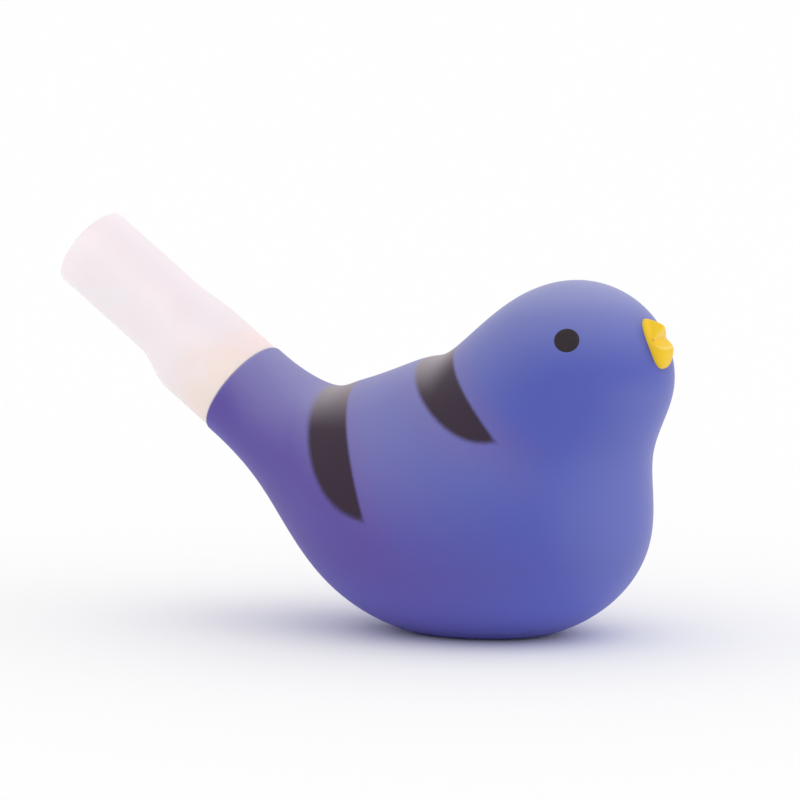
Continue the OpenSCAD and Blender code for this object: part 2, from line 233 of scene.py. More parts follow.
# A stripe's tip hangs tip_angle degrees down the flank from the back's ridge, at tip on the way from the
# crown to the rim. Each edge swings away from the tip along the skin, on a curve with two powers. Its soft
# border is soft_low mm wide at the tip and soft_top mm wide on the ridge.
Edge = namedtuple("Edge", "swing power root soft_low soft_top")
Stripe = namedtuple("Stripe", "tip_angle tip front rear")
STRIPES = (
    Stripe(92.5, 0.303, front=Edge(-0.053, 2.2, 1, 0.8, 0.7), rear=Edge(0.075, 4.4, 1, 1.0, 1.1)),
    Stripe(89, 0.556, front=Edge(0.12, 1, 2.5, 0.8, 0.7), rear=Edge(0.233, 1.8, 0.65, 1.6, 2.4)))
TIP_SOFT = 1.6 * MM
# Paint depths of skin far from a stripe and well inside one
BARE, COVERED = -8.0, 4.0

# Painted light on skin that faces up, from the tail over the back to the face: stops along the bird in mm,
# how far up the skin faces where the painted light starts and where it is full, and its strength
PAINTED_LIGHT_STOPS = (-26, -17, -2, 16, 34)
PAINTED_LIGHT_START = (-0.1, 0.25, -0.15, -0.15, 0.1)
PAINTED_LIGHT_FULL = (0.9, 1.05, 1.0, 1.0, 1.15)
PAINTED_LIGHT_MOST = (0.50, 0.37, 0.37, 0.39, 0.46)
PAINTED_LIGHT_LEAN = 0.3
# Painted highlight along the top, painted light on the breast's front, and the most painted highlight on
# the stripes
TOP_PAINTED_LIGHT, BREAST_PAINTED_LIGHT, STRIPE_HIGHLIGHT_MOST = 0.15, 0.13, 0.82

# Columns of the mouthpiece's rings across the sound window and round the rest
WINDOW_COLS, ROUND_COLS = 24, 96


# Shapes

def full_turn(count):
    """Angles in equal steps round a full turn."""
    return np.arange(count) * 2 * np.pi / count


def steps_to(start, end, count):
    """Equal steps that leave out the start and reach the end."""
    return np.linspace(start, end, count + 1)[1:]


def smooth_step(value, low, high):
    """Smooth rise from 0 at the low limit to 1 at the high one."""
    x = np.clip((value - low) / (high - low), 0, 1)
    return x * x * (3 - 2 * x)


def spline(line, s):
    """Uniform cubic B-spline: each point blends four control points of the line by cubic weights,
    and the line runs on straight past both of its ends."""
    ends = np.vstack([2 * line[:1] - line[1:2], line, 2 * line[-1:] - line[-2:-1]])
    i = np.clip(np.floor(s).astype(int), 0, len(line) - 2)
    t = (s - i)[:, None]
    return ((1 - t) ** 3 * ends[i] + (3 * t ** 3 - 6 * t ** 2 + 4) * ends[i + 1]
            + (3 * t + 3 * t ** 2 - 3 * t ** 3 + 1) * ends[i + 2] + t ** 3 * ends[i + 3]) / 6


def tail_place(bird, out, up):
    """Side-view place at out along the tail from its rim and at up from the tail's axis."""
    cosine, sine = math.cos(bird.tail_slope), math.sin(bird.tail_slope)
    return bird.rim_at[0] - cosine * out + sine * up, bird.rim_at[1] + sine * out + cosine * up


def skin_line(bird, inset, tail_ends):
    """Control line of a skin that lies inset inside the outline. It runs along the back from the
    tail to the crown and on down the face and the belly. Each control point holds its place in the
    side view, its half width, which counts as negative along the back, and its sag."""
    step = math.radians(45)
    # A spline runs inside its control points, so these lie further out than the round head
    reach = (bird.head_d / 2 - inset) * 3 / (2 + math.cos(step))
    tops, lows, widths, sags = [], [], [], []
    for k in (0.5, 1.5):
        for points, angle in ((tops, bird.crown + k * step), (lows, bird.crown - k * step)):
            points.append(np.array(bird.head_at) + reach * np.array([math.cos(angle), math.sin(angle)]))
        widths.append(reach * math.sin(k * step))
        sags.append(0)
    for top, low, width, sag in (
            (bird.nape, bird.throat, bird.throat_w, 0),
            (bird.shoulder, bird.breast, bird.breast_w, bird.sag / 2),
            (bird.back, bird.belly, bird.belly_w, bird.sag),
            (bird.loin, bird.vent, bird.vent_w, bird.sag),
            (bird.saddle, bird.rump, bird.rump_w, bird.sag / 2),
            (bird.tail_top, bird.tail_under, bird.tail_w, 0)):
        top, low = np.array(top), np.array(low)
        inward = inset * (low - top) / np.linalg.norm(low - top)
        tops.append(top + inward)
        lows.append(low - inward)
        widths.append(width / 2 - inset)
        sags.append(sag)
    for out, radius in tail_ends:
        tops.append(tail_place(bird, out, radius))
        lows.append(tail_place(bird, out, -radius))
        widths.append(radius)
        sags.append(0)
    tops, lows, widths, sags = map(np.array, (tops, lows, widths, sags))
    upper = np.column_stack([tops, -widths, sags])[::-1]
    return np.vstack([upper, np.column_stack([lows, widths, sags])])


def crown_point(line):
    """Point of a skin at the crown, halfway along its control line."""
    x, z = spline(line, np.array([(len(line) - 1) / 2]))[0, :2]
    return np.array([x, 0, z])


def skin_rings(line, v, t):
    """Oval rings of a skin, v from 0 at the crown to 1 at the tail's end and t round each ring from
    the belly over the back. A ring's long chord joins the back to the belly, and its width swells
    with the sine of t, more so low down by the sag."""
    crown = (len(line) - 1) / 2
    back = spline(line, crown - crown * v)
    belly = spline(line, crown + crown * v)
    mid, half = (back + belly)[:, None, :] / 2, (belly - back)[:, None, :] / 2
    x = mid[..., 0] + half[..., 0] * np.cos(t)
    y = belly[:, None, 2] * np.sin(t) * (1 + belly[:, None, 3] * np.cos(t))
    z = mid[..., 1] + half[..., 1] * np.cos(t)
    return np.stack([x, y, z], -1)


def tail_rings(bird, out, radius, t):
    """Round rings about the tail's axis, with a radius at each place out from the rim."""
    x, z = tail_place(bird, out[:, None], -np.outer(radius, np.cos(t)))
    return np.stack([x, np.outer(radius, np.sin(t)), z], -1)


def soft_above(z, level, soft):
    """Heights that never fall below the level and turn into it along a soft edge."""
    return level + (z - level + np.sqrt((z - level) ** 2 + soft ** 2)) / 2


def corner(r, s, r_end, s_end, steps):
    """Quarter ellipse from (r, s) to (r_end, s_end) that leaves along s and arrives along r."""
    a = np.linspace(0, math.pi / 2, steps + 1)
    return r_end + (r - r_end) * np.cos(a), s + (s_end - s) * np.sin(a)


def corner_in(r, s, r_end, s_end, steps):
    """Quarter ellipse from (r, s) to (r_end, s_end) that leaves along r and arrives along s."""
    a = np.linspace(0, math.pi / 2, steps + 1)
    return r + (r_end - r) * np.sin(a), s_end + (s - s_end) * np.cos(a)


def stripe_depth(points, v, t):
    """How deep each skin point lies inside a sprayed stripe, counted in widths of the stripe's soft
    border. An edge is the curve v = tip + swing (1 - s^power)^root, with s the angle from the back's
    ridge as a share of the tip's. The distance to an edge is the difference in v over the slope of
    that difference on the skin."""
    along = np.linalg.norm(np.gradient(points, v, axis=0), axis=-1)
    apart = np.roll(points, -1, 1) - np.roll(points, 1, 1)
    around = np.linalg.norm(apart, axis=-1) / (2 * (t[1] - t[0]))
    ridge = np.abs(np.pi - t)
    deepest = np.full(points.shape[:2], BARE)
    for stripe in STRIPES:
        tip_angle = math.radians(stripe.tip_angle)
        s = ridge / tip_angle
        inside = np.clip(1 - s, 0, 1)
        depth = (tip_angle - ridge) * around / TIP_SOFT
        for sign, edge in ((1, stripe.front), (-1, stripe.rear)):
            curve = stripe.tip + edge.swing * np.clip(1 - s ** edge.power, 0, 1) ** edge.root
            steep = np.sqrt((1 / along) ** 2 + (np.gradient(curve, t) / around) ** 2)
            soft = (edge.soft_low + (edge.soft_top - edge.soft_low) * inside) * MM
            depth = np.minimum(depth, sign * (v[:, None] - curve) / steep / soft)
        deepest = np.maximum(deepest, depth)
    return np.clip(deepest, BARE, COVERED)


def ring_faces(rows, cols, first=0, looped=False):
    """Quads of a grid of rings, each ring closed round. A looped grid's last ring joins its first."""
    i, k = np.meshgrid(np.arange(rows if looped else rows - 1), np.arange(cols), indexing="ij")
    on, beside = (i + 1) % rows, (k + 1) % cols
    quads = np.stack([i * cols + k, i * cols + beside, on * cols + beside, on * cols + k], -1)
    return first + quads.reshape(-1, 4)


def pole_faces(pole, ring, cols):
    """Triangles from a pole point to a ring."""
    k = np.arange(cols)
    return np.stack([np.full(cols, pole), ring + k, ring + (k + 1) % cols], -1)


def poled_piece(name, first_pole, rings, last_pole):
    """Closed piece over a row of rings with a pole point at both ends."""
    rows, cols = rings.shape[:2]
    points = np.vstack([first_pole, rings.reshape(-1, 3), last_pole])
    last = len(points) - 1
    faces = [ring_faces(rows, cols, 1), pole_faces(0, 1, cols)[:, ::-1],
             pole_faces(last, 1 + (rows - 1) * cols, cols)]
    return new_piece(name, points, faces)


def new_piece(name, points, face_sets):
    """Mesh object with its faces turned outwards, by the sign of the volume that they enclose."""
    volume = 0.0
    for faces in face_sets:
        for j in range(1, faces.shape[1] - 1):
            a, b, c = points[faces[:, 0]], points[faces[:, j]], points[faces[:, j + 1]]
            volume += np.einsum("ij,ij->", a, np.cross(b, c))
    outward = [face for faces in face_sets for face in (faces if volume > 0 else faces[:, ::-1]).tolist()]
    mesh = bpy.data.meshes.new(name)
    mesh.from_pydata(points.tolist(), [], outward)
    mesh.polygons.foreach_set("use_smooth", np.ones(len(mesh.polygons), bool))
    if mesh.validate():
        raise RuntimeError(name + " has faces that can't be used")
    piece = bpy.data.objects.new(name, mesh)
    bpy.context.scene.collection.objects.link(piece)
    return piece


def point_places(piece):
    """Places of a piece's points, one row each."""
    places = np.empty(3 * len(piece.data.vertices), np.float32)
    piece.data.vertices.foreach_get("co", places)
    return places.astype(float).reshape(-1, 3)


def point_normals(piece):
    """Directions that the surface faces at its points: the shares along x, y and z."""
    normals = np.empty(3 * len(piece.data.vertices), np.float32)
    piece.data.vertex_normals.foreach_get("vector", normals)
    return normals.reshape(-1, 3).T


def point_values(piece, name, values):
    """Keeps one number at each point of a piece, for its finish to read."""
    layer = piece.data.attributes.new(name, "FLOAT", "POINT")
    layer.data.foreach_set("value", np.asarray(values, np.float32))


def ring_values(piece, name, values, elsewhere):
    """Keeps numbers at the rings that follow a piece's first pole, and one number elsewhere."""
    every = np.full(len(piece.data.vertices), elsewhere, float)
    every[1:1 + values.size] = values.ravel()
    point_values(piece, name, every)


def body_piece(bird):
    """Hollow bird as one closed row of rings: the outer skin from the crown to the tail, the rim's
    rounding, the tail hole, and the skin of the water space back to the crown. Both skins turn softly
    into their floors. Gives the piece and how deep its outer skin lies in the stripes."""
    outer_rows, inner_rows, rim_steps = 240, 70, 5
    t = full_turn(200)
    rim_r, hole_r, soft = bird.rim_d / 2, bird.hole_d / 2, bird.rim_round
    line = skin_line(bird, 0, [(-bird.rim_l, rim_r), (0, rim_r)])
    # The last stretch of the skin is left to the rim's rounding
    v_end = 1 - 2 * soft / (bird.rim_l * (len(line) - 1))
    v = steps_to(0, v_end, outer_rows)
    skin = skin_rings(line, v, t)
    depth = stripe_depth(skin, v, t)
    skin[..., 2] = soft_above(skin[..., 2], 0, bird.base_soft)
    r_out, s_out = corner(rim_r, -soft, rim_r - soft, 0, rim_steps)
    r_in, s_in = corner_in(hole_r + soft, 0, hole_r, -soft, rim_steps)
    radius = np.concatenate([r_out[1:], r_in, [hole_r, hole_r]])
    out = np.concatenate([s_out[1:], s_in, [-bird.hole_l / 2, -bird.hole_l]])
    rim = tail_rings(bird, out, radius, t)
    inner = skin_line(bird, bird.wall, [(-bird.hole_l - bird.hole_step, bird.cavity_end)])
    space = skin_rings(inner, np.linspace(1, 0, inner_rows + 1)[:-1], t)
    space[..., 2] = soft_above(space[..., 2], bird.floor_t, bird.base_soft)
    rings = np.concatenate([skin, rim, space])
    return poled_piece("bird_body", crown_point(line), rings, crown_point(inner)), depth


def head_frame(bird, bearing, up):
    """Origin and the three directions of the head's frame at a bearing and a height: out of the
    head, sideways and upwards along the head."""
    ahead, aside = math.cos(bearing), math.sin(bearing)
    level, rise = math.cos(up), math.sin(up)
    origin = np.array([bird.head_at[0], 0, bird.head_at[1]])
    return origin, np.array([
        [level * ahead, level * aside, rise], [-aside, ahead, 0], [-rise * ahead, -rise * aside, level]])


def on_head(bird, bearing, up, y, z, r):
    """Points at the offsets y and z across the head and at the radius r from its middle."""
    origin, axes = head_frame(bird, bearing, up)
    x = np.sqrt(r ** 2 - y ** 2 - z ** 2)
    return origin + np.stack([x, y, z], -1) @ axes


def cap_piece(name, bird, bearing, up, y, z, rise, peak):
    """Closed cap on the head, over offsets y and z that run in rings from its middle to its edge. Its
    top stands the rise above the head, with the peak in the middle, and its skirt goes down from the
    edge to the middle of the wall."""
    head_r = bird.head_d / 2
    root_r = head_r - bird.wall / 2
    top = on_head(bird, bearing, up, y, z, head_r + rise)
    skirt = on_head(bird, bearing, up, y[-1:], z[-1:], root_r)
    middle = np.zeros(1)
    poles = [on_head(bird, bearing, up, middle, middle, r)[0] for r in (head_r + peak, root_r)]
    return poled_piece(name, poles[0], np.concatenate([top, skirt]), poles[1])


def soft_highest(face, slopes):
    """Highest of several values, rounded where two of them meet."""
    return np.log(np.exp(face.crisp * np.stack(slopes)).sum(0)) / face.crisp


def upper_bill(face, y, z):
    """Height of the pointed upper bill at z above the crease: two flat cheeks fall from its point to
    the foot's end and the gape's corners, and a palate faces the gape."""
    tip, end = face.upper_gape, face.beak_h / 2 - face.crease_z
    down = 1 / (end - tip)
    across = 2 * (1 + down * tip) / face.beak_w
    fall = down * (z - tip)
    worst = soft_highest(face, [fall + across * y, fall - across * y, 1 - z / tip])
    return face.upper_bill * np.maximum(0, 1 - worst)


def lower_front(face, y, z):
    """How far the lower bill's front has fallen at z below the crease: to both sides by a high power
    of the offset, and straight down to the foot's end."""
    tip, end = face.lower_gape, face.beak_h / 2 + face.crease_z
    sides = np.abs(2 * y / face.beak_w) ** face.lower_broad
    return sides + np.maximum(0, z - tip) / (end - tip)


def lower_bill(face, y, z):
    """Height of the broad lower bill at z below the crease: a scoop that faces the gape meets the
    front."""
    worst = soft_highest(face, [lower_front(face, y, z), 1 - z / face.lower_gape])
    return face.lower_bill * np.maximum(0, 1 - worst)


def beak_rise(face, y, z, rho):
    """Height of the beak over its foot, which rises with a round shoulder from its edge, where rho
    is 1, and carries the higher of the two bills."""
    foot = face.beak_foot * np.sqrt(np.clip(1 - rho ** 4, 0, 1))
    above, below = z - face.crease_z, face.crease_z - z
    return foot + np.maximum(upper_bill(face, y, above), lower_bill(face, y, below))


def beak_painted_highlights(face, y, z):
    """How strong the painted highlight on the beak's edges is: the upper bill's palate, where it lies
    below the cheeks, and a bell curve over the lower bill's rim."""
    palate_light, palate_soft, rim_soft = 0.55, 0.25, 0.16
    tip, above, below = face.upper_gape, z - face.crease_z, face.crease_z - z
    down = 1 / (face.beak_h / 2 - face.crease_z - tip)
    cheek = down * (above - tip) + 2 * (1 + down * tip) / face.beak_w * np.abs(y)
    palate = np.clip((1 - above / tip - cheek) / palate_soft, 0, 1) * (above > 0)
    scoop = 1 - below / face.lower_gape
    rim = np.exp(-((scoop - lower_front(face, y, below)) / rim_soft) ** 2) * (below > 0)
    return palate_light * palate + rim


def gape_painted_shade(face, y, z):
    """How deep the painted shade in the gape's corners is: a bell curve round a spot at each end of the
    crease."""
    corner_at, corner_wide, crease_wide = 0.8, 0.12, 0.2 * face.upper_gape
    aside = np.abs(y) / (face.beak_w / 2)
    return np.exp(-((z - face.crease_z) / crease_wide) ** 2 - ((aside - corner_at) / corner_wide) ** 2)


def mouthpiece_profile(tube):
    """Rings of the mouthpiece, each with its radius, its place out from the rim and its share of the
    blow end's lift. They run out along the outside, in through the blow bore, the chamber and the
    sockets, and back out round the spigot. The shoulder thins the collar to the blow end in a smooth
    S. Also gives the rings that the sound window cuts, outside and inside, from its lip outwards."""
    collar_r, blow_r, spigot_r = tube.collar_d / 2, tube.blow_d / 2, tube.spigot_d / 2
    bore_r = blow_r - tube.blow_wall
    chamber_r = bore_r - tube.ledge
    hollow_r, well_r = collar_r - tube.collar_wall, spigot_r - tube.collar_wall
    socket_r, tube_bore_r = tube.tube_d / 2, tube.tube_bore / 2
    start, edge, bore_round = tube.seat_gap, tube.collar_round, tube.lip_r / 2
    blow_at = tube.collar_l + tube.shoulder_l
    window_end = tube.lip_at + tube.window_l
    lip_start = tube.mouth_l - tube.lip_r
    bore_start = tube.mouth_l - bore_round
    stop_top = tube.stop_t - tube.stop_at
    edge_steps, lip_steps, collar_steps, shoulder_steps, window_steps, blow_steps = 4, 6, 6, 24, 5, 14

    def stretch(radius, out, lifted):
        """Rings of one stretch, from arrays or single numbers."""
        return np.column_stack(np.broadcast_arrays(radius, out, lifted))

    shoulder = np.union1d(steps_to(tube.collar_l, blow_at, shoulder_steps), tube.lip_at)
    ease = smooth_step(shoulder, tube.collar_l, blow_at)
    r_lip, s_lip = corner(blow_r, lip_start, blow_r - tube.lip_r, tube.mouth_l, lip_steps)
    outside = np.vstack([
        stretch(*corner_in(collar_r - edge, start, collar_r, start + edge, edge_steps), 0),
        stretch(collar_r, steps_to(start + edge, tube.collar_l, collar_steps), 0),
        stretch(collar_r + (blow_r - collar_r) * ease, shoulder, ease),
        stretch(blow_r, steps_to(blow_at, window_end, window_steps), 1),
        stretch(blow_r, steps_to(window_end, lip_start, blow_steps), 1),
        stretch(r_lip[1:], s_lip[1:], 1)])
    outer = np.flatnonzero((outside[:, 1] >= tube.lip_at) & (outside[:, 1] <= window_end))
    bore = np.vstack([
        stretch(*corner_in(bore_r + bore_round, tube.mouth_l, bore_r, bore_start, edge_steps), 1),
        stretch(bore_r, steps_to(bore_start, window_end, window_steps), 1)])
    chamber = np.vstack([
        stretch(chamber_r, outside[outer[::-1], 1], 1),
        stretch(chamber_r, tube.collar_l, 1)])
    sockets = stretch(*np.transpose([
        (hollow_r, tube.collar_l), (hollow_r, tube.collar_wall), (well_r, tube.collar_wall),
        (well_r, stop_top), (tube_bore_r, stop_top), (tube_bore_r, -tube.stop_at),
        (socket_r, -tube.stop_at), (socket_r, -tube.spigot_l), (spigot_r - edge, -tube.spigot_l),
        (spigot_r, edge - tube.spigot_l), (spigot_r, start)]), 0)
    inner = len(outside) + len(bore) + np.arange(len(outer))
    return np.vstack([outside, bore, chamber, sockets]), outer, inner[::-1]


def mouthpiece_columns(tube, radius):
    """Points round rings of the given radii, up from their middles and sideways. The first columns
    span the sound window by their place sideways, with a thin slit at both of its sides, and the rest
    go round by their angle. On a ring too small for that they span a fixed angle."""
    slit, room, small_span = 0.02 * MM, 1.05, 0.9
    half, radius = tube.window_w / 2, radius[:, None]
    fits = radius > half * room
    middle = np.linspace(slit - half, half - slit, WINDOW_COLS - 1)
    small = radius * np.sin(np.linspace(-small_span, small_span, WINDOW_COLS + 1))
    low_y = np.where(fits, np.concatenate([[-half], middle, [half]]), small)
    low_x = -np.sqrt(np.maximum(radius ** 2 - low_y ** 2, 0))
    edge_angle = np.where(fits, np.arcsin(np.minimum(half / radius, 1)), small_span)
    angle = edge_angle + 2 * (np.pi - edge_angle) * np.linspace(0, 1, ROUND_COLS + 1)[1:-1]
    return np.hstack([low_x, -radius * np.cos(angle)]), np.hstack([low_y, radius * np.sin(angle)])


def mouthpiece_piece(bird, tube):
    """One closed surface over the profile's rings, whose middles are lifted towards the blow end. In
    the sound window's columns a ramp is cut into the outside, and the window goes through: walls join
    its outer border to its inner one."""
    rings, outer, inner = mouthpiece_profile(tube)
    radius, out, lifted = rings.T
    lift = (tube.collar_d - tube.blow_d) / 2 - tube.blow_drop
    x, y = mouthpiece_columns(tube, radius)
    x += lift * lifted[:, None]
    # The outside is raised to a slope that ends at the lip
    lip_x = lift - radius[inner[0]] - tube.lip_t
    cut = np.flatnonzero(out[:outer[0] + 1] >= tube.collar_l / 2)[:, None]
    between = np.arange(1, WINDOW_COLS)
    slope = lip_x - (tube.lip_at - out[cut]) * math.tan(tube.ramp)
    x[cut, between] = np.maximum(x[cut, between], slope)

    ahead, above = tail_place(bird, out[:, None], x)
    points = np.stack([ahead, y, above], -1)
    rows, cols = x.shape
    faces = ring_faces(rows, cols, looped=True)
    row_of, col_of = np.divmod(faces[:, 0], cols)
    in_window = np.isin(row_of, np.concatenate([outer[:-1], inner[1:]])) & (col_of < WINDOW_COLS)
    across = np.arange(WINDOW_COLS + 1)

    def border(starts):
        """Points round the window, given each row's first point: lip, one side, far end, other side."""
        return np.concatenate([starts[0] + across[:-1], starts[:-1] + WINDOW_COLS,
                               starts[-1] + across[:0:-1], starts[:0:-1]])

    edge, end = border(outer * cols), border(inner * cols)
    walls = np.stack([edge, np.roll(edge, -1), np.roll(end, -1), end], -1)
    piece = new_piece("mouthpiece_tube", points.reshape(-1, 3), [np.vstack([faces[~in_window], walls])])
    crease = math.radians(38)
    piece.data.set_sharp_from_angle(angle=crease)
    return piece


# Finishes

def painted_skin_light(places, ahead, upward):
    """Share of painted light on the skin: a smooth step of how far the skin faces up, whose limits change
    from the tail over the back to the face, with a painted highlight on top and thin painted light on the
    breast's front."""
    along = (places[:, 0] + PAINTED_LIGHT_LEAN * places[:, 2]) / MM
    start, full, most = (np.interp(along, PAINTED_LIGHT_STOPS, row)
                         for row in (PAINTED_LIGHT_START, PAINTED_LIGHT_FULL, PAINTED_LIGHT_MOST))
    top = TOP_PAINTED_LIGHT * smooth_step(upward, low=0.65, high=1.0)
    below_face = 1 - smooth_step(places[:, 2] / MM, low=36, high=42)
    film = BREAST_PAINTED_LIGHT * smooth_step(ahead, low=0.5, high=1.0) * below_face
    return most * smooth_step(upward, start, full) + top + film


def painted_underside_light(upward):
    """Share of painted light underneath, in a clearer blue: a smooth step of how far the skin faces down.
    """
    return smooth_step(-upward, low=0.25, high=0.85)


def stripe_painted_highlight(side, upward):
    """Share of painted highlight on the stripes: a smooth step of how far up the skin faces on its ring.
    """
    steep = upward / np.maximum(np.hypot(side, upward), 1e-6)
    return STRIPE_HIGHLIGHT_MOST * smooth_step(steep, low=0.62, high=1.1)


def beak_painted_shade(bird, face, places):
    """How deep the painted shade beside the beak is at each point of the skin: it falls off as a bell
    curve of the distance from the foot's edge, counted in half sizes of the foot, and towards the foot's
    two ends."""
    start, fall, flank = 0.95, 0.45, 0.8
    origin, axes = head_frame(bird, 0, face.beak_up)
    out, side, up = np.moveaxis((places - origin) @ axes.T, -1, 0)
    side, up = side / (face.beak_w / 2), up / (face.beak_h / 2)
    ring = np.maximum(np.hypot(side, up) - start, 0)
    return np.exp(-(ring / fall) ** 2 - (up / flank) ** 4) * (out > 0)


def add(tree, kind, **values):
    """New node with its settings and its unlinked inputs set by name."""
    node = tree.nodes.new(kind)
    for key, value in values.items():
        if key in node.inputs:
            node.inputs[key].default_value = value
        else:
            setattr(node, key, value)
    return node


def new_finish(name, **values):
    """Material whose shader has its plain values set on its own sockets."""
    finish = bpy.data.materials.new(name)
    finish.use_nodes = True
    shader = finish.node_tree.nodes["Principled BSDF"]
    for key, value in values.items():
        shader.inputs[key.replace("_", " ")].default_value = value
    return finish, finish.node_tree, shader


def colour(rgb):
    """Linear colour that covers fully."""
    return (*rgb, 1.0)


def put(tree, socket, value):
    """Links a socket to another, or sets it to a plain value."""
    if isinstance(value, bpy.types.NodeSocket):
        tree.links.new(value, socket)
    else:
        socket.default_value = value


def own_place(tree):
    """The piece's own place in metres."""
    return add(tree, "ShaderNodeTexCoord").outputs["Object"]


def point_value(tree, name):
    """Number that the piece keeps at its points."""
    return add(tree, "ShaderNodeAttribute", attribute_name=name).outputs["Fac"]


def noise(tree, scale, detail=2.0):
    """Noise over the piece's own place."""
    node = add(tree, "ShaderNodeTexNoise", Scale=scale, Detail=detail)
    put(tree, node.inputs["Vector"], own_place(tree))
    return node.outputs["Fac"]


def distance_along(tree, origin, direction):
    """Dot product of a direction and the piece's own place, counted from an origin."""
    away = add(tree, "ShaderNodeVectorMath", operation="SUBTRACT")
    put(tree, away.inputs[0], own_place(tree))
    put(tree, away.inputs[1], origin)
    along = add(tree, "ShaderNodeVectorMath", operation="DOT_PRODUCT")
    put(tree, along.inputs[0], away.outputs["Vector"])
    put(tree, along.inputs[1], direction)
    return along.outputs["Value"]


def spread(tree, value, low, high, to_low=0.0, to_high=1.0):
    """Value carried smoothly from one range to another and held at the ends."""
    node = add(tree, "ShaderNodeMapRange", interpolation_type="SMOOTHSTEP")
    inputs = {"Value": value, "From Min": low, "From Max": high, "To Min": to_low, "To Max": to_high}
    for name, number in inputs.items():
        put(tree, node.inputs[name], number)
    return node.outputs["Result"]


def sums(tree, operation, first, second):
    """One step of arithmetic on two values, each a socket or a number."""
    node = add(tree, "ShaderNodeMath", operation=operation)
    put(tree, node.inputs[0], first)
    put(tree, node.inputs[1], second)
    return node.outputs[0]


def mix(tree, factor, first, second, blend="MIX"):
    """Blend of two colours, each a socket or a linear colour."""
    node = add(tree, "ShaderNodeMix", data_type="RGBA", blend_type=blend)
    # A colour mix takes its factor and its two colours at these sockets, and gives the third output
    for index, value in ((0, factor), (6, first), (7, second)):
        put(tree, node.inputs[index], value)
    return node.outputs[2]


def grain(tree, shader, scale, strength):
    """Fine moulded grain as a bump."""
    bump = add(tree, "ShaderNodeBump", Strength=strength, Distance=0.2 * MM)
    put(tree, bump.inputs["Height"], noise(tree, scale, 3.0))
    put(tree, shader.inputs["Normal"], bump.outputs["Normal"])


def vinyl_finish(tints):
    """Soft matte vinyl, violet at the tail and blue at the head, where it has a sheen. It is faintly
    mottled, with painted light in a clearer blue underneath, overspray round the stripes, painted light
    where it faces up and painted shade beside the beak. The sprayed stripes cover all that, with a painted
    highlight where they face up and speckled borders."""
    finish, tree, shader = new_finish(
        "striped_vinyl", Roughness=0.5, Specular_IOR_Level=0.16, Sheen_Roughness=0.4,
        Sheen_Tint=(1.0, 0.94, 1.0, 1.0))
    slant = distance_along(tree, (0, 0, 0), (1, 0, 1))
    put(tree, shader.inputs["Sheen Weight"], spread(tree, slant, 0.0, 50 * MM, to_high=0.22))
    headward = spread(tree, slant, -6 * MM, 46 * MM)
    vinyl = mix(tree, headward, colour(tints.tail_violet), colour(tints.head_blue))
    mottle = spread(tree, noise(tree, 90.0), 0.3, 0.7, to_high=0.12)
    vinyl = mix(tree, mottle, vinyl, colour(tints.mottle_blue))
    # Painted light on the underside
    vinyl = mix(tree, point_value(tree, "under"), vinyl, colour(tints.belly_painted_light), blend="ADD")
    depth = point_value(tree, "paint_depth")
    overspray = spread(tree, depth, -7.0, -0.3, to_high=0.38)
    vinyl = mix(tree, overspray, vinyl, colour(tints.spray_violet))
    # Painted light where the skin faces up and on the breast's front
    vinyl = mix(tree, point_value(tree, "painted_light"), vinyl, colour(tints.painted_light_pale))
    # Painted shade beside the beak
    shade = sums(tree, "MULTIPLY", point_value(tree, "beak_painted_shade"), 0.5)
    vinyl = mix(tree, shade, vinyl, colour(tints.painted_shade_blue))
    # Painted highlight on the stripes where they face up
    paint = mix(tree, point_value(tree, "dust"), colour(tints.stripe_black), colour(tints.stripe_painted_highlight))
    speckle = sums(tree, "MULTIPLY", sums(tree, "SUBTRACT", noise(tree, 5200.0), 0.5), 0.5)
    cover = spread(tree, sums(tree, "ADD", depth, speckle), -0.5, 0.5, to_high=0.97)
    put(tree, shader.inputs["Base Color"], mix(tree, cover, vinyl, paint))
    grain(tree, shader, 2600.0, 0.06)
    return finish


def beak_finish(tints):
    """Satin yellow vinyl with painted shade in the corners of the gape and a painted highlight on its
    edges.
    """
    finish, tree, shader = new_finish(
        "beak_vinyl", Roughness=0.42, Specular_IOR_Level=0.25, Subsurface_Weight=0.15,
        Subsurface_Scale=1.0 * MM)
    cloud = spread(tree, noise(tree, 900.0), 0.3, 0.7, -0.12, 0.12)
    # Painted shade in the gape's corners
    deep = spread(tree, sums(tree, "ADD", point_value(tree, "gape_painted_shade"), cloud), 0.35, 1.0)
    yellow = mix(tree, deep, colour(tints.beak_yellow), colour(tints.painted_gape_yellow))
    # Painted highlight on the beak's edges
    highlighted = spread(tree, point_value(tree, "edge_painted_highlight"), 0.0, 1.0, to_high=0.5)
    put(tree, shader.inputs["Base Color"], mix(tree, highlighted, yellow, colour(tints.beak_highlight_yellow)))
    grain(tree, shader, 3000.0, 0.05)
    return finish


def eye_finish(tints):
    """Matte black paint, clouded by up to a quarter."""
    finish, tree, shader = new_finish("eye_black", Roughness=0.55, Specular_IOR_Level=0.35)
    cloud = spread(tree, noise(tree, 700.0), 0.3, 0.7)
    dark = [0.75 * part for part in tints.eye_black]
    put(tree, shader.inputs["Base Color"], mix(tree, cloud, colour(tints.eye_black), colour(dark)))
    grain(tree, shader, 3500.0, 0.05)
    return finish


